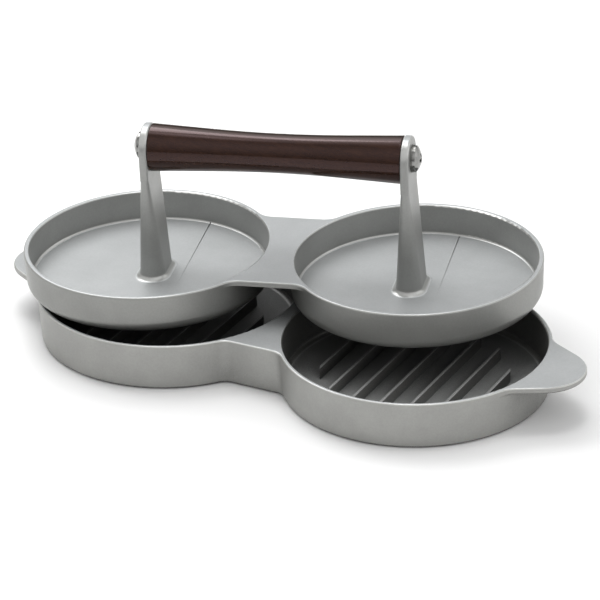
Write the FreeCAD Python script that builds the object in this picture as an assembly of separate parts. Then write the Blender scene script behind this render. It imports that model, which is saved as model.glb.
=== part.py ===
import FreeCAD, Part
import math
import os

from FreeCAD import Placement, Rotation, Vector

# Double patty press in cast aluminium: a tray with two ribbed pans, and a loose press with two
# shallow pans, two posts and a wooden bridge handle. The press lies askew on top of the tray.
#
# Millimetres, +Z up. The origin is the middle of the tray on the surface it stands on, and X
# runs through both of its pan centres. The pieces of the press are drawn in a frame of their
# own, with z = 0 on the underside of its pans, and are placed on the tray at the very end.

# ---- driving dimensions ----
PAN_SPACING = 126.2        # between the two pan centres, in the tray and in the press
PAN_X = PAN_SPACING / 2

TRAY_HEIGHT = 22.1
TRAY_RIM_R = 62.0          # outside of a tray pan at its rim
TRAY_BASE_R = 60.7         # outside of a tray pan where it meets the ground
TRAY_WALL = 2.16
TRAY_FLOOR = 2.4
TRAY_FOOT_R = 59.3         # inside of a tray pan where the wall meets the floor
TRAY_GROUND_EDGE = 1.4
TRAY_WEB_HALF = 37.8       # half the width of the bridge between the tray pans
TRAY_WEB_REACH = 30.0      # the bridge ends inside the pans, this far from the middle
TRAY_WEB_FILLET = 8.0
TRAY_WEB_SKIN = 2.6        # top skin over the two hollows under that bridge
TRAY_WEB_WALL = 2.4        # front and back walls of those hollows
POCKET_START_Y = 12.0      # the hollows stop at this distance from the X axis

EAR_THICK = 3.0            # lifting tabs at the ends of the tray
EAR_TIP_X = 145.3
EAR_TIP_R = 19.9
EAR_SIDE_SLOPE = 27.6      # degrees between a tab's straight side and the X axis
EAR_FILLET = 13.0
EAR_UNDER_EDGE = 1.2
EAR_ROOT_X = 111.0         # a tab starts here, inside the wall of its pan

RIM_EDGE = 0.85            # rounding of the rims of both castings
PAN_FOOT_FILLET = 3.0      # rounding between wall and floor inside a tray pan
PRESS_FOOT_FILLET = 1.2    # the same inside a press pan

RIB_PITCH = 13.1
RIB_COUNT = 7
RIB_ZONE_R = 43.0          # the ribs end on a circle of this radius in each pan
TRAY_RIB = dict(height=5.0, root=2.6, crest=1.3)
PRESS_RIB = dict(height=-2.75, root=2.2, crest=1.3)  # these hang down from the underside
RIB_CREST_EDGE = 0.35

PRESS_HEIGHT = 18.57
PRESS_RIM_R = 58.24
PRESS_BASE_R = 57.6
PRESS_WALL = 2.52
PRESS_FLOOR = 4.0
PRESS_FOOT_R = 55.4
PRESS_CORNER_R = 5.5       # rounding between the outside wall and the underside
PRESS_WEB_HALF = 34.5
PRESS_WEB_REACH = 20.0
PRESS_WEB_FILLET = 9.0
PRESS_WEB_SKIN = 2.4

POST_X = 60.4              # the posts stand slightly inside the pan centres
POST_FOOT = dict(size_x=12.6, size_y=22.4, corner=6.25)
POST_NECK = dict(size_x=3.9, size_y=22.6, corner=1.9)
POST_FOOT_FILLET = 3.0
POST_SINK = 1.0            # the post starts this far inside the pan floor
LUG_THICK = 3.9            # flat eye at the top of a post, which holds the handle
LUG_R = 11.3
LUG_EDGE = 1.1
LUG_START_Z = 54.5

HANDLE_Z = 67.1
HANDLE_WAIST_R = 9.05
HANDLE_END_R = 11.05
HANDLE_WAIST_HALF = 30.0   # half the length of the curved middle of the handle
HANDLE_LENGTH = 2 * POST_X - LUG_THICK
HANDLE_END_EDGE = 0.5

SCREW_Z = HANDLE_Z + 0.8   # the screws sit slightly above the handle's own axis
SCREW_R = 2.5
SCREW_HOLE_R = 2.65        # holes in the lugs and washers
SCREW_REACH = 10.5         # how far a screw goes into the handle
WASHER_R = 6.3
WASHER_THICK = 1.0
HEAD_R = 6.1
HEAD_EDGE = 1.1
HEAD_HEIGHT = 3.3
HEAD_SHOULDER = 0.5        # rounding where the edge of the head turns into the dome
RECESS_DEPTH = 2.0
RECESS_WIDTH = 1.5
RECESS_R = 3.2
INSERT_R = 4.0
INSERT_LENGTH = 15.0

GROOVE_OFFSET = 13.4       # fine casting line in each press pan, measured from the post
GROOVE_WIDTH = 0.6
GROOVE_DEPTH = 0.6
GROOVE_ENDS = (-17.0, 53.5)

# The press rests with one pan on the rim of the tray and a rib of the other pan on the far rim.
PRESS_PLACE = Placement(Vector(-13.4, 18.3, 24.5), Rotation(15.62, -1.115, 0.33))

SINK = 0.5                 # how far a fused-on piece starts inside its neighbour
OVER = 5.0                 # how far a cutting body runs past the surface it opens


# ---- helpers ----
def horizontal(edge, z, tolerance=0.01):
    """True if the whole edge lies at height z."""
    box = edge.BoundBox
    return abs(box.ZMin - z) < tolerance and abs(box.ZMax - z) < tolerance


def upright_at(edge, x, y, reach):
    """True if the edge stands up near the point x, y."""
    box = edge.BoundBox
    near = abs(box.Center.x - x) < reach and abs(box.Center.y - y) < reach
    return near and box.ZLength > max(box.XLength, box.YLength)


def corner_edges(body, x, y, reach=4.0):
    """The upright edges near the four mirror images of the point x, y."""
    return [edge for edge in body.Edges for sx in (-1, 1) for sy in (-1, 1)
            if upright_at(edge, sx * x, sy * y, reach)]


def fused(shapes):
    return shapes[0].multiFuse(shapes[1:]).removeSplitter()


def rounded(body, radius, edges):
    """The body with the given edges rounded."""
    return body.makeFillet(radius, edges)


def mirrored_x(shape):
    return shape.mirror(Vector(0, 0, 0), Vector(1, 0, 0))


def cone_at(x, bottom_r, top_r, bottom_z, top_z):
    return Part.makeCone(bottom_r, top_r, top_z - bottom_z, Vector(x, 0, bottom_z))


def pan_hollow(x, foot_r, rim_r, floor_z, rim_z, fillet):
    """The empty inside of a round pan, carried on above its rim, with a rounded foot."""
    spread = (rim_r - foot_r) / (rim_z - floor_z)
    hollow = cone_at(x, foot_r, rim_r + spread * OVER, floor_z, rim_z + OVER)
    foot = [edge for edge in hollow.Edges if horizontal(edge, floor_z)]
    return hollow.makeFillet(fillet, foot)


def slab(half_x, half_y, bottom_z, top_z, shrink=0.0):
    """A block centred on the Z axis whose front and back lean in by shrink at the bottom."""
    corners = [(-1, -1), (1, -1), (1, 1), (-1, 1), (-1, -1)]
    rings = []
    for z, half in ((bottom_z, half_y - shrink), (top_z, half_y)):
        rings.append(Part.makePolygon([Vector(sx * half_x, sy * half, z) for sx, sy in corners]))
    return Part.makeLoft(rings, True, True)


def rounded_rectangle(x, size_x, size_y, corner, z):
    """A closed wire of four lines and four arcs."""
    hx, hy = size_x / 2, size_y / 2
    edges = []
    turn = 1 / math.sqrt(2)
    for sx, sy in ((1, 1), (-1, 1), (-1, -1), (1, -1)):
        cx, cy = x + sx * (hx - corner), sy * (hy - corner)
        on_x = Vector(x + sx * hx, cy, z)
        on_y = Vector(cx, sy * hy, z)
        middle = Vector(cx + sx * corner * turn, cy + sy * corner * turn, z)
        start, end = (on_x, on_y) if sx * sy > 0 else (on_y, on_x)
        if edges:
            edges.append(Part.makeLine(edges[-1].valueAt(edges[-1].LastParameter), start))
        edges.append(Part.Arc(start, middle, end).toShape())
    first = edges[0].valueAt(edges[0].FirstParameter)
    edges.append(Part.makeLine(edges[-1].valueAt(edges[-1].LastParameter), first))
    return Part.Wire(edges)


def rib(x, root_z, height, root, crest):
    """One straight rib along Y with a tapered section; a negative height points down."""
    sink = -math.copysign(SINK, height)
    section = [(-root / 2, sink), (root / 2, sink), (root / 2, 0), (crest / 2, height),
               (-crest / 2, height), (-root / 2, 0), (-root / 2, sink)]
    wire = Part.makePolygon([Vector(x + dx, -RIB_ZONE_R, root_z + dz) for dx, dz in section])
    bar = Part.Face(wire).extrude(Vector(0, 2 * RIB_ZONE_R, 0))
    return rounded(bar, RIB_CREST_EDGE, [edge for edge in bar.Edges
                                         if horizontal(edge, root_z + height) and edge.Length > 2 * crest])


def ribs(pan_x, root_z, height, root, crest):
    """The parallel ribs of one pan, cut off along a circle round the pan's axis."""
    low = min(root_z, root_z + height) - OVER
    zone = Part.makeCylinder(RIB_ZONE_R, abs(height) + 2 * OVER, Vector(pan_x, 0, low))
    offsets = [(index - (RIB_COUNT - 1) / 2) * RIB_PITCH for index in range(RIB_COUNT)]
    return [rib(pan_x + offset, root_z, height, root, crest).common(zone) for offset in offsets]


# ---- the tray ----
def ear_touch():
    """The point where the straight side of the +X tab runs into its round tip."""
    slope = math.radians(EAR_SIDE_SLOPE)
    return (EAR_TIP_X - EAR_TIP_R + EAR_TIP_R * math.sin(slope), EAR_TIP_R * math.cos(slope))


def ear_corner():
    """The point where that straight side meets the round wall of the pan."""
    slope = math.radians(EAR_SIDE_SLOPE)
    x, y = ear_touch()
    forward = (x - PAN_X) * math.cos(slope) - y * math.sin(slope)
    miss = (x - PAN_X) * math.sin(slope) + y * math.cos(slope)
    back = forward - math.sqrt(TRAY_RIM_R ** 2 - miss ** 2)
    return x - back * math.cos(slope), y + back * math.sin(slope)


def ear_plate():
    """The lifting tab at the +X end: straight sides that run into a round tip."""
    touch_x, touch_y = ear_touch()
    root_x = EAR_ROOT_X
    root_y = touch_y + (touch_x - root_x) * math.tan(math.radians(EAR_SIDE_SLOPE))
    z = TRAY_HEIGHT - EAR_THICK
    upper, lower = Vector(touch_x, touch_y, z), Vector(touch_x, -touch_y, z)
    root_upper, root_lower = Vector(root_x, root_y, z), Vector(root_x, -root_y, z)
    outline = Part.Wire([
        Part.makeLine(root_lower, lower),
        Part.Arc(lower, Vector(EAR_TIP_X, 0, z), upper).toShape(),
        Part.makeLine(upper, root_upper),
        Part.makeLine(root_upper, root_lower),
    ])
    return Part.Face(outline).extrude(Vector(0, 0, EAR_THICK))


def tray_outside():
    """Both pans, the bridge and the tabs as one solid, with the concave corners blended."""
    pans = [cone_at(x, TRAY_BASE_R, TRAY_RIM_R, 0, TRAY_HEIGHT) for x in (-PAN_X, PAN_X)]
    lean = TRAY_RIM_R - TRAY_BASE_R
    bridge = slab(TRAY_WEB_REACH, TRAY_WEB_HALF, 0, TRAY_HEIGHT, shrink=lean)
    ear = ear_plate()
    body = fused(pans + [bridge, ear, mirrored_x(ear)])
    bridge_x = PAN_X - math.sqrt(TRAY_RIM_R ** 2 - TRAY_WEB_HALF ** 2)
    body = rounded(body, TRAY_WEB_FILLET, corner_edges(body, bridge_x, TRAY_WEB_HALF))
    return rounded(body, EAR_FILLET, corner_edges(body, *ear_corner()))


def bridge_pockets():
    """The two open hollows under the bridge, between the round walls of the pans."""
    ceiling = TRAY_HEIGHT - TRAY_WEB_SKIN
    lean = TRAY_RIM_R - TRAY_BASE_R
    block = slab(TRAY_WEB_REACH, TRAY_WEB_HALF - TRAY_WEB_WALL, -SINK, ceiling, shrink=lean)
    solid_middle = slab(TRAY_WEB_REACH, POCKET_START_Y, -OVER, TRAY_HEIGHT)
    block = block.cut(solid_middle)
    for x in (-PAN_X, PAN_X):
        block = block.cut(cone_at(x, TRAY_RIM_R, TRAY_RIM_R + SINK, -OVER, TRAY_HEIGHT))
    return block


def base_tray():
    body = tray_outside()
    ear_underside = [edge for edge in body.Edges if horizontal(edge, TRAY_HEIGHT - EAR_THICK)
                     and abs(edge.CenterOfMass.x) > EAR_ROOT_X + EAR_UNDER_EDGE]
    body = rounded(body, EAR_UNDER_EDGE, ear_underside)
    body = rounded(body, TRAY_GROUND_EDGE, [edge for edge in body.Edges if horizontal(edge, 0)])
    rim_r = TRAY_RIM_R - TRAY_WALL
    for x in (-PAN_X, PAN_X):
        hollow = pan_hollow(x, TRAY_FOOT_R, rim_r, TRAY_FLOOR, TRAY_HEIGHT, PAN_FOOT_FILLET)
        body = body.cut(hollow)
    body = body.cut(bridge_pockets())
    body = rounded(body, RIM_EDGE, [edge for edge in body.Edges if horizontal(edge, TRAY_HEIGHT)])
    for x in (-PAN_X, PAN_X):
        body = body.fuse(ribs(x, TRAY_FLOOR, **TRAY_RIB))
    return body.removeSplitter()


# ---- the press ----
def press_shell():
    """Two round pans joined by a thin bridge at their rims, hollowed out from above."""
    pans = []
    for x in (-PAN_X, PAN_X):
        pan = cone_at(x, PRESS_BASE_R, PRESS_RIM_R, 0, PRESS_HEIGHT)
        underside = [edge for edge in pan.Edges if horizontal(edge, 0)]
        pans.append(rounded(pan, PRESS_CORNER_R, underside))
    bridge = slab(PRESS_WEB_REACH, PRESS_WEB_HALF, PRESS_HEIGHT - PRESS_WEB_SKIN, PRESS_HEIGHT)
    body = fused(pans + [bridge])
    bridge_x = PAN_X - math.sqrt(PRESS_RIM_R ** 2 - PRESS_WEB_HALF ** 2)
    body = rounded(body, PRESS_WEB_FILLET, corner_edges(body, bridge_x, PRESS_WEB_HALF))
    rim_r = PRESS_RIM_R - PRESS_WALL
    for x in (-PAN_X, PAN_X):
        hollow = pan_hollow(x, PRESS_FOOT_R, rim_r, PRESS_FLOOR, PRESS_HEIGHT, PRESS_FOOT_FILLET)
        body = body.cut(hollow)
    return rounded(body, RIM_EDGE, [edge for edge in body.Edges if horizontal(edge, PRESS_HEIGHT)])


def post(x):
    """A tapered post that narrows from a round foot into the flat lug that holds the handle."""
    foot = rounded_rectangle(x, z=PRESS_FLOOR - POST_SINK, **POST_FOOT)
    neck = rounded_rectangle(x, z=LUG_START_Z, **POST_NECK)
    shaft = Part.makeLoft([foot, neck], True, True)
    return shaft.fuse(lug(x)).removeSplitter()


def lug(x):
    """The flat eye at the top of a post: straight sides up to the handle, then a half circle."""
    near = x - LUG_THICK / 2
    bottom_front = Vector(near, -LUG_R, LUG_START_Z)
    top_front = Vector(near, -LUG_R, HANDLE_Z)
    top_back = Vector(near, LUG_R, HANDLE_Z)
    bottom_back = Vector(near, LUG_R, LUG_START_Z)
    outline = Part.Wire([
        Part.makeLine(bottom_front, top_front),
        Part.Arc(top_front, Vector(near, 0, HANDLE_Z + LUG_R), top_back).toShape(),
        Part.makeLine(top_back, bottom_back),
        Part.makeLine(bottom_back, bottom_front),
    ])
    plate = Part.Face(outline).extrude(Vector(LUG_THICK, 0, 0))
    around = [edge for edge in plate.Edges
              if abs(edge.BoundBox.XLength) < 0.01 and not horizontal(edge, LUG_START_Z)]
    return rounded(plate, LUG_EDGE, around)


def along_x(start_x, length, radius):
    """A cylinder along X on the axis of the screws."""
    return Part.makeCylinder(radius, length, Vector(start_x, 0, SCREW_Z), Vector(1, 0, 0))


def press_casting():
    """Shell, posts and underside ribs in one piece."""
    body = press_shell()
    body = fused([body, post(-POST_X), post(POST_X)])
    feet = [edge for edge in body.Edges if horizontal(edge, PRESS_FLOOR)
            and abs(abs(edge.CenterOfMass.x) - POST_X) < POST_FOOT["size_x"]
            and abs(edge.CenterOfMass.y) < POST_FOOT["size_y"]
            and edge.Length < POST_FOOT["size_y"]]
    body = rounded(body, POST_FOOT_FILLET, feet)
    for x in (-PAN_X, PAN_X):
        body = body.fuse(ribs(x, 0, **PRESS_RIB))
    body = body.cut(along_x(-POST_X - LUG_R, 2 * (POST_X + LUG_R), SCREW_HOLE_R))
    for side in (-1, 1):
        body = body.cut(casting_line(side * POST_X + GROOVE_OFFSET))
    return body.removeSplitter()


def casting_line(x):
    """A fine straight groove across a pan floor that fades out in front of the post."""
    front, back = GROOVE_ENDS
    above = PRESS_FLOOR + SINK
    section = [Vector(x, front, PRESS_FLOOR), Vector(x, back, PRESS_FLOOR - GROOVE_DEPTH),
               Vector(x, back, above), Vector(x, front, above), Vector(x, front, PRESS_FLOOR)]
    cut = Part.Face(Part.makePolygon(section)).extrude(Vector(GROOVE_WIDTH, 0, 0))
    cut.translate(Vector(-GROOVE_WIDTH / 2, 0, 0))
    return cut


def handle():
    """Turned wooden grip, thinner in the middle, bored at both ends for the inserts."""
    half = HANDLE_LENGTH / 2
    bend = (HANDLE_WAIST_HALF * (half - HANDLE_WAIST_HALF / 2)) / (HANDLE_END_R - HANDLE_WAIST_R)
    shoulder_r = HANDLE_WAIST_R + HANDLE_WAIST_HALF ** 2 / (2 * bend)
    left, right = Vector(-HANDLE_WAIST_HALF, 0, shoulder_r), Vector(HANDLE_WAIST_HALF, 0, shoulder_r)
    end_left, end_right = Vector(-half, 0, HANDLE_END_R), Vector(half, 0, HANDLE_END_R)
    profile = Part.Wire([
        Part.makeLine(Vector(-half, 0, 0), end_left),
        Part.makeLine(end_left, left),
        Part.Arc(left, Vector(0, 0, HANDLE_WAIST_R), right).toShape(),
        Part.makeLine(right, end_right),
        Part.makeLine(end_right, Vector(half, 0, 0)),
        Part.makeLine(Vector(half, 0, 0), Vector(-half, 0, 0)),
    ])
    grip = Part.Face(profile).revolve(Vector(0, 0, 0), Vector(1, 0, 0), 360)
    grip.translate(Vector(0, 0, HANDLE_Z))
    ends = [edge for edge in grip.Edges
            if abs(edge.BoundBox.XLength) < 0.01 and abs(abs(edge.CenterOfMass.x) - half) < 0.01]
    grip = rounded(grip, HANDLE_END_EDGE, ends)
    for start in (-half, half - INSERT_LENGTH):
        grip = grip.cut(along_x(start, INSERT_LENGTH, INSERT_R))
    return grip


def insert(side):
    """Threaded sleeve in one end of the handle."""
    half = HANDLE_LENGTH / 2
    start = half - INSERT_LENGTH if side > 0 else -half
    sleeve = along_x(start, INSERT_LENGTH, INSERT_R)
    return sleeve.cut(along_x(start, INSERT_LENGTH, SCREW_R))


def washer(side):
    near = POST_X + LUG_THICK / 2
    disc = along_x(near, WASHER_THICK, WASHER_R)
    disc = disc.cut(along_x(near, WASHER_THICK, SCREW_HOLE_R))
    return disc if side > 0 else mirrored_x(disc)


def screw(side):
    """Domed screw with a cross recess, through the washer and the lug into the insert."""
    seat = POST_X + LUG_THICK / 2 + WASHER_THICK
    shank = along_x(seat - WASHER_THICK - LUG_THICK - SCREW_REACH,
                    SCREW_REACH + LUG_THICK + WASHER_THICK + SINK, SCREW_R)
    rim = Vector(seat + HEAD_EDGE, 0, HEAD_R)
    crown = Vector(seat + HEAD_HEIGHT, 0, 0)
    rise = HEAD_HEIGHT - HEAD_EDGE
    dome_r = (HEAD_R ** 2 + rise ** 2) / (2 * rise)
    half_turn = math.asin(HEAD_R / dome_r) / 2
    middle = Vector(seat + HEAD_HEIGHT - dome_r * (1 - math.cos(half_turn)), 0,
                    dome_r * math.sin(half_turn))
    profile = Part.Wire([
        Part.makeLine(Vector(seat, 0, 0), Vector(seat, 0, HEAD_R)),
        Part.makeLine(Vector(seat, 0, HEAD_R), rim),
        Part.Arc(rim, middle, crown).toShape(),
        Part.makeLine(crown, Vector(seat, 0, 0)),
    ])
    head = Part.Face(profile).revolve(Vector(0, 0, 0), Vector(1, 0, 0), 360)
    head.translate(Vector(0, 0, SCREW_Z))
    rims = [edge for edge in head.Edges if abs(edge.BoundBox.XLength) < 0.01
            and abs(edge.CenterOfMass.x - rim.x) < 0.01]
    head = rounded(head, HEAD_SHOULDER, rims)
    whole = head.fuse(shank).cut(cross_recess(seat + HEAD_HEIGHT))
    whole = whole.removeSplitter()
    return whole if side > 0 else mirrored_x(whole)


def cross_recess(crown_x):
    """Two crossed slots that narrow towards the bottom of the recess."""
    start = crown_x - RECESS_DEPTH
    cone = Part.makeCone(RECESS_WIDTH / 2, RECESS_R, RECESS_DEPTH, Vector(start, 0, SCREW_Z),
                         Vector(1, 0, 0))
    half = RECESS_WIDTH / 2
    upright = Part.makeBox(RECESS_DEPTH, 2 * half, 2 * HEAD_R, Vector(start, -half, SCREW_Z - HEAD_R))
    level = Part.makeBox(RECESS_DEPTH, 2 * HEAD_R, 2 * half, Vector(start, -HEAD_R, SCREW_Z - half))
    return cone.common(upright.fuse(level))


# ---- write the files ----
def placed(shape):
    """A piece of the press, moved from its own frame onto the tray."""
    moved = shape.copy()
    moved.Placement = PRESS_PLACE.multiply(shape.Placement)
    return moved


def build():
    pieces = {"base_tray": base_tray(), "press_casting": placed(press_casting()),
              "grip_handle": placed(handle())}
    for side, name in ((-1, "left"), (1, "right")):
        pieces[name + "_screw"] = placed(screw(side))
        pieces[name + "_washer"] = placed(washer(side))
        pieces[name + "_insert"] = placed(insert(side))
    os.makedirs("parts", exist_ok=True)
    for name, shape in pieces.items():
        shape.Solids[0].exportStep("parts/" + name + ".step")


build()
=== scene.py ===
import math

import bpy
from mathutils import Euler, Matrix, Vector

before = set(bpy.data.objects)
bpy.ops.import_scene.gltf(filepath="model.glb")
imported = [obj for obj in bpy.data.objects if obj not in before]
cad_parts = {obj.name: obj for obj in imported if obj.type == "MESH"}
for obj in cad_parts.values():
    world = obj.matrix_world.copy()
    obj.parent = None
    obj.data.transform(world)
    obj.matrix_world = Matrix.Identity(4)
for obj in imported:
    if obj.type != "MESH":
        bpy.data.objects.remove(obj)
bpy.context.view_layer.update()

# A cast aluminium double patty press on a pale table. Metres, in the frame of the CAD model.

# ---- camera ----
CAMERA_AZIMUTH = 28.148
CAMERA_ELEVATION = 26.713
CAMERA_ROLL = -1.24
CAMERA_DISTANCE = 1.5158
CAMERA_TARGET = Vector((0.00502, 0.0, 0.02924))
LENS = 199.6
SENSOR = 36.0


def towards(azimuth, elevation):
    """Unit vector from the object towards that direction, in degrees; azimuth 0 is the front."""
    a, e = math.radians(azimuth), math.radians(elevation)
    return Vector((math.sin(a) * math.cos(e), -math.cos(a) * math.cos(e), math.sin(e)))


def make_camera():
    """The camera at the angle, roll and distance given above."""
    back = towards(CAMERA_AZIMUTH, CAMERA_ELEVATION)
    right = Vector((0, 0, 1)).cross(back).normalized()
    up = back.cross(right)
    roll = math.radians(CAMERA_ROLL)
    x_axis = right * math.cos(roll) + up * math.sin(roll)
    y_axis = up * math.cos(roll) - right * math.sin(roll)
    data = bpy.data.cameras.new("camera")
    data.lens = LENS
    data.sensor_width = SENSOR
    data.clip_end = 20
    camera = bpy.data.objects.new("camera", data)
    bpy.context.scene.collection.objects.link(camera)
    turned = Matrix((x_axis, y_axis, back)).transposed().to_4x4()
    camera.matrix_world = Matrix.Translation(CAMERA_TARGET + back * CAMERA_DISTANCE) @ turned
    bpy.context.scene.camera = camera


# ---- light ----
# Wide lobes of room light: azimuth and elevation in degrees, sharpness, strength.
ROOM_LIGHT = [
    (208, 32, 12, 0.3),
    (-62, 10, 2, 0.75),
    (118, 10, 2, 1.3),
    (28, 50, 4, 0.9),
    (-140, 55, 20, 3.0),
    (208, 84, 120, 10.0),
]
# One square soft light near the object; its power is in watts.
KEY_LIGHT = dict(azimuth=-112, elevation=50, distance=0.50, size=0.30, watts=0.95)
FLOOR_SIZE = 40.0
FLOOR_DROP = 0.0002
FLOOR_COLOUR = (0.97, 0.97, 0.97, 1)
FLOOR_ROUGH = 0.9

# ---- finishes, with painted light and shade on the castings ----
# The castings, all one aluminium. The colours are of the outside walls, of the walls and posts inside the
# pans, of the flat upward faces outside the pans and of the pan floors; they are painted light and shade,
# the same metal lighter on faces that catch the light and darker where shade falls. Reach is how far away
# a neighbour still casts painted shade on a surface, fully_open the openness that counts as open, and
# deep the tone of painted shade that is left in the deepest corners. The last entry says whether level
# faces get that painted shade too.
TRAY_METAL = dict(
    outside=(0.368, 0.368, 0.353),
    inside=(0.33, 0.33, 0.32),
    flat=(0.42, 0.433, 0.436),
    floor=(0.40, 0.405, 0.40),
    rough=0.5,
    reach=0.06,
    fully_open=0.5,
    deep=0.3,
    paint_shade_on_level_faces=True,
)
PRESS_METAL = dict(
    outside=(0.280, 0.282, 0.270),
    inside=(0.36, 0.363, 0.352),
    flat=(0.43, 0.444, 0.448),
    floor=(0.425, 0.439, 0.442),
    rough=0.42,
    reach=0.03,
    fully_open=0.65,
    deep=0.4,
    paint_shade_on_level_faces=False,
)
CLOUD_SIZE = 0.030          # metres across one patch of the mottling
CLOUD_GAIN = (0.94, 1.06)
GRAIN_SIZE = 0.0009         # metres across one grain of the cast surface
GRAIN_GAIN = (0.97, 1.03)
GRAIN_DEPTH = 0.00003
ROUGH_VARIES = 0.03
LEVEL_FROM = (0.80, 0.98)   # height part of the normal, from sloping to level
EDGE_STARTS = (0.2, 0.5)    # and where a rounded edge starts and ends
EDGE_ENDS = (0.95, 0.99)
CLOSED = 0.1                # openness that counts as fully closed
NOISE_SPAN = (0.3, 0.7)     # where nearly all noise values lie
WALL_METALLIC = 0.7
FLAT_METALLIC = 0.2
EDGE_HIGHLIGHT_GAIN = 1.55            # painted highlight: rounded upper edges are brightened
EDGE_ROUGH = 0.3

WOOD_TINT = (0.021, 0.0093, 0.0048)
WOOD_GLOSS = 0.44
WOOD_SHEEN = (1.0, 0.72, 0.74, 1)
WOOD_ROUGH = (0.08, 0.12)
WOOD_STRETCH = (0.10, 1, 1)  # the grain runs along the handle
STREAK_SIZE = 0.0022
PORE_SIZE = 0.0005
PORE_DEPTH = 0.00001

# Small metal parts: colour, lowest and highest roughness.
CHROME = dict(tint=(0.30, 0.30, 0.29), rough_low=0.08, rough_high=0.16)
STEEL = dict(tint=(0.22, 0.22, 0.21), rough_low=0.25, rough_high=0.35)
BRASS = dict(tint=(0.45, 0.33, 0.15), rough_low=0.3, rough_high=0.4)
SMEAR_SIZE = 0.002
SMEAR_GAIN = (0.88, 1.08)

# ---- insides of the pans, where the castings get other tones of painted light and shade ----
PAN_X = 0.0631
PRESS_ANGLES = (0.33, -1.115, 15.62)     # degrees, as the press lies askew on the tray
PRESS_SHIFT = Vector((-0.0134, 0.0183, 0.0245))
PRESS_FLOOR_Z = 0.01
PRESS_TURN = Euler([math.radians(angle) for angle in PRESS_ANGLES]).to_matrix()
TRAY_PANS = dict(radius=0.0600, centres=[Vector((x, 0, 0)) for x in (-PAN_X, PAN_X)])
PRESS_PANS = dict(
    radius=0.0560,
    centres=[PRESS_SHIFT + PRESS_TURN @ Vector((x, 0, PRESS_FLOOR_Z)) for x in (-PAN_X, PAN_X)],
)
DISC_BLUR = 0.0003


# ---- node helpers ----
class Graph:
    """Short calls for building one node tree."""

    def __init__(self, owner):
        owner.use_nodes = True
        self.tree = owner.node_tree
        self.tree.nodes.clear()

    def node(self, kind, **settings):
        made = self.tree.nodes.new(kind)
        for name, value in settings.items():
            setattr(made, name, value)
        return made

    def link(self, source, target):
        self.tree.links.new(source, target)

    def set(self, node, values):
        """Gives each named input its constant."""
        for name, value in values.items():
            node.inputs[name].default_value = value

    def coordinates(self, stretch=(1, 1, 1)):
        """Object coordinates in metres, scaled."""
        source = self.node("ShaderNodeTexCoord")
        mapping = self.node("ShaderNodeMapping")
        mapping.inputs["Scale"].default_value = stretch
        self.link(source.outputs["Object"], mapping.inputs["Vector"])
        return mapping.outputs["Vector"]

    def noise(self, where, size, detail, distortion=0.0):
        """Noise whose features are about size metres across."""
        made = self.node("ShaderNodeTexNoise")
        self.set(made, {"Scale": 1 / size, "Detail": detail, "Roughness": 0.55, "Distortion": distortion})
        self.link(where, made.inputs["Vector"])
        return made.outputs["Fac"]

    def spread(self, value, low, high, to_low, to_high):
        """Maps low..high smoothly onto to_low..to_high and stops at both ends."""
        made = self.node("ShaderNodeMapRange", interpolation_type="SMOOTHSTEP")
        self.set(made, {"From Min": low, "From Max": high, "To Min": to_low, "To Max": to_high})
        self.link(value, made.inputs["Value"])
        return made.outputs["Result"]

    def mix(self, factor, dark, light):
        """Mixes two colours, each a tuple or an output."""
        made = self.node("ShaderNodeMix", data_type="RGBA")
        for socket, value in ((made.inputs[6], dark), (made.inputs[7], light)):
            if isinstance(value, tuple):
                socket.default_value = value
            else:
                self.link(value, socket)
        self.link(factor, made.inputs["Factor"])
        return made.outputs[2]

    def openness(self, reach):
        """1 on open surfaces, less in corners and under things within reach metres."""
        made = self.node("ShaderNodeAmbientOcclusion", samples=8)
        made.inputs["Distance"].default_value = reach
        return made.outputs["AO"]

    def upward(self):
        """The height part of the surface normal."""
        source = self.node("ShaderNodeTexCoord")
        parts = self.node("ShaderNodeSeparateXYZ")
        self.link(source.outputs["Normal"], parts.inputs["Vector"])
        return parts.outputs["Z"]

    def disc(self, centre, radius):
        """1 inside an upright cylinder of that radius around a point, 0 outside."""
        reach = self.node("ShaderNodeVectorMath", operation="DISTANCE")
        self.link(self.coordinates(stretch=(1, 1, 0)), reach.inputs[0])
        reach.inputs[1].default_value = (centre.x, centre.y, 0)
        return self.spread(reach.outputs["Value"], radius - DISC_BLUR, radius + DISC_BLUR, 1, 0)

    def combine(self, operation, first, second):
        """One math operation on two outputs."""
        made = self.node("ShaderNodeMath", operation=operation)
        self.link(first, made.inputs[0])
        self.link(second, made.inputs[1])
        return made.outputs["Value"]

    def times(self, first, second):
        return self.combine("MULTIPLY", first, second)

    def larger(self, first, second):
        return self.combine("MAXIMUM", first, second)

    def scaled(self, colour, amount):
        """A colour, as a tuple or an output, times a value output."""
        made = self.node("ShaderNodeVectorMath", operation="SCALE")
        if isinstance(colour, tuple):
            made.inputs["Vector"].default_value = colour
        else:
            self.link(colour, made.inputs["Vector"])
        self.link(amount, made.inputs["Scale"])
        return made.outputs["Vector"]

    def bump(self, height, depth):
        """A bump of depth metres."""
        made = self.node("ShaderNodeBump")
        self.set(made, {"Strength": 1.0, "Distance": depth})
        self.link(height, made.inputs["Height"])
        return made.outputs["Normal"]


def material(name):
    """A new material with its graph and its shader."""
    made = bpy.data.materials.new(name)
    graph = Graph(made)
    shader = graph.node("ShaderNodeBsdfPrincipled")
    output = graph.node("ShaderNodeOutputMaterial")
    graph.link(shader.outputs["BSDF"], output.inputs["Surface"])
    return made, graph, shader


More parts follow.
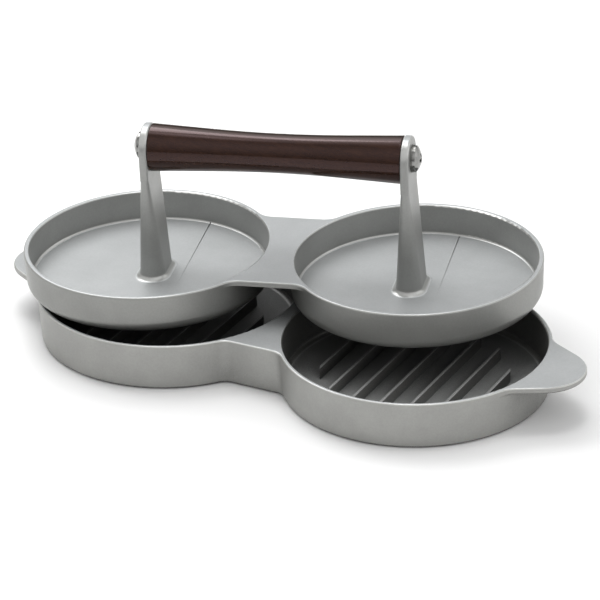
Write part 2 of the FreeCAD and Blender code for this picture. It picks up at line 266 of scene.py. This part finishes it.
# ---- materials ----
def aluminium(name, pans, outside, inside, flat, floor, rough, reach, fully_open, deep, paint_shade_on_level_faces):
    """Cast aluminium blasted to an even satin, with painted light and shade: painted highlights on
    rounded upper edges, painted shade in corners and under things, and lighter or darker painted tones on
    walls, level faces and pan floors by where light falls.
    """
    made, graph, shader = material(name)
    where = graph.coordinates()
    cloud = graph.noise(where, CLOUD_SIZE, detail=4)
    grain = graph.noise(where, GRAIN_SIZE, detail=3)

    up = graph.upward()
    level = graph.spread(up, *LEVEL_FROM, 0, 1)
    edge = graph.times(graph.spread(up, *EDGE_STARTS, 0, 1), graph.spread(up, *EDGE_ENDS, 1, 0))
    in_pans = graph.larger(*[graph.disc(centre, pans["radius"]) for centre in pans["centres"]])

    # painted light and shade: the same metal in lighter and darker tones for walls outside and inside the
    # pans, level faces and pan floors
    walls = graph.mix(in_pans, outside + (1,), inside + (1,))
    flats = graph.mix(in_pans, flat + (1,), floor + (1,))
    colour = graph.mix(level, walls, flats)

    # painted shade: the colour darkens in corners, hollows and under things, by how open the surface is
    open_air = graph.spread(graph.openness(reach), CLOSED, fully_open, 0, 1)
    if not paint_shade_on_level_faces:
        open_air = graph.larger(open_air, level)
    shade = graph.spread(open_air, 0, 1, deep, 1)
    # painted highlight: brighter colour on rounded upper edges
    edge_highlight = graph.spread(edge, 0, 1, 1, EDGE_HIGHLIGHT_GAIN)
    mottle = graph.spread(cloud, *NOISE_SPAN, *CLOUD_GAIN)
    speckle = graph.spread(grain, *NOISE_SPAN, *GRAIN_GAIN)
    gain = graph.times(graph.times(shade, edge_highlight), graph.times(mottle, speckle))
    graph.link(graph.scaled(colour, gain), shader.inputs["Base Color"])

    metallic = graph.spread(level, 0, 1, WALL_METALLIC, FLAT_METALLIC)
    graph.link(metallic, shader.inputs["Metallic"])

    satin = graph.spread(cloud, *NOISE_SPAN, rough + ROUGH_VARIES, rough - ROUGH_VARIES)
    polished = graph.spread(edge, 0, 1, 1, EDGE_ROUGH)
    graph.link(graph.combine("MINIMUM", satin, polished), shader.inputs["Roughness"])
    graph.link(graph.bump(grain, GRAIN_DEPTH), shader.inputs["Normal"])
    return made


def lacquered_wood():
    """Dark reddish wood under a glossy lacquer, with grain along the handle."""
    made, graph, shader = material("dark_lacquered_wood")
    where = graph.coordinates(stretch=WOOD_STRETCH)
    streaks = graph.noise(where, STREAK_SIZE, detail=5, distortion=0.4)
    pores = graph.noise(where, PORE_SIZE, detail=2)
    streaked = graph.spread(streaks, 0.35, 0.7, 0.85, 1.3)
    pitted = graph.spread(pores, 0.35, 0.65, 0.85, 1.15)
    graph.link(graph.scaled(WOOD_TINT, graph.times(streaked, pitted)), shader.inputs["Base Color"])
    graph.link(graph.spread(streaks, *NOISE_SPAN, *WOOD_ROUGH), shader.inputs["Roughness"])
    shader.inputs["Specular IOR Level"].default_value = WOOD_GLOSS
    shader.inputs["Specular Tint"].default_value = WOOD_SHEEN
    graph.link(graph.bump(pores, PORE_DEPTH), shader.inputs["Normal"])
    return made


def small_metal(name, tint, rough_low, rough_high):
    """Polished or brushed metal with faint smears."""
    made, graph, shader = material(name)
    smear = graph.noise(graph.coordinates(), SMEAR_SIZE, detail=4)
    shader.inputs["Metallic"].default_value = 1.0
    smeared = graph.scaled(tint, graph.spread(smear, *NOISE_SPAN, *SMEAR_GAIN))
    graph.link(smeared, shader.inputs["Base Color"])
    graph.link(graph.spread(smear, *NOISE_SPAN, rough_low, rough_high), shader.inputs["Roughness"])
    return made


def dress(node, made):
    """Gives a CAD node its material."""
    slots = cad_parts[node].data.materials
    slots.clear()
    slots.append(made)


# ---- surroundings ----
def make_floor():
    """A plain pale table just under the object."""
    bpy.ops.mesh.primitive_plane_add(size=FLOOR_SIZE, location=(0, 0, -FLOOR_DROP))
    floor = bpy.context.object
    floor.name = "floor"
    made, _, shader = material("pale_table")
    shader.inputs["Base Color"].default_value = FLOOR_COLOUR
    shader.inputs["Roughness"].default_value = FLOOR_ROUGH
    floor.data.materials.append(made)


def lobe_of_light(graph, where, azimuth, elevation, sharpness):
    """1 towards that direction, falling to 0 at right angles to it."""
    facing = graph.node("ShaderNodeVectorMath", operation="DOT_PRODUCT")
    graph.link(where, facing.inputs[0])
    facing.inputs[1].default_value = towards(azimuth, elevation)
    shown = graph.node("ShaderNodeMath", operation="MAXIMUM")
    graph.link(facing.outputs["Value"], shown.inputs[0])
    shown.inputs[1].default_value = 0
    lobe = graph.node("ShaderNodeMath", operation="POWER")
    graph.link(shown.outputs["Value"], lobe.inputs[0])
    lobe.inputs[1].default_value = sharpness
    return lobe.outputs["Value"]


def make_world():
    """Soft room light, summed from the wide lobes, behind a plain white background."""
    world = bpy.data.worlds.new("studio")
    bpy.context.scene.world = world
    graph = Graph(world)
    where = graph.node("ShaderNodeTexCoord").outputs["Generated"]
    total = None
    for azimuth, elevation, sharpness, strength in ROOM_LIGHT:
        sum_up = graph.node("ShaderNodeMath", operation="MULTIPLY_ADD")
        graph.link(lobe_of_light(graph, where, azimuth, elevation, sharpness), sum_up.inputs[0])
        sum_up.inputs[1].default_value = strength
        sum_up.inputs[2].default_value = 0
        if total:
            graph.link(total, sum_up.inputs[2])
        total = sum_up.outputs["Value"]
    shader = graph.node("ShaderNodeBackground")
    output = graph.node("ShaderNodeOutputWorld")
    shader.inputs["Color"].default_value = (1, 1, 1, 1)
    seen = graph.node("ShaderNodeLightPath").outputs["Is Camera Ray"]
    graph.link(graph.larger(total, seen), shader.inputs["Strength"])
    graph.link(shader.outputs["Background"], output.inputs["Surface"])


def make_key_light(azimuth, elevation, distance, size, watts):
    """A square soft light that faces the object."""
    data = bpy.data.lights.new("key", "AREA")
    data.shape = "SQUARE"
    data.size = size
    data.energy = watts
    light = bpy.data.objects.new("key", data)
    bpy.context.scene.collection.objects.link(light)
    away = towards(azimuth, elevation)
    light.location = CAMERA_TARGET + away * distance
    light.rotation_mode = "QUATERNION"
    light.rotation_quaternion = away.to_track_quat("Z", "Y")


make_camera()
make_floor()
make_world()
make_key_light(**KEY_LIGHT)
bpy.context.scene.view_settings.view_transform = "Standard"

dress("base_tray", aluminium("tray_cast_aluminium", TRAY_PANS, **TRAY_METAL))
dress("press_casting", aluminium("press_cast_aluminium", PRESS_PANS, **PRESS_METAL))
dress("grip_handle", lacquered_wood())
chrome = small_metal("chrome_plate", **CHROME)
steel = small_metal("washer_steel", **STEEL)
brass = small_metal("insert_brass", **BRASS)
for side in ("left", "right"):
    dress(side + "_screw", chrome)
    dress(side + "_washer", steel)
    dress(side + "_insert", brass)
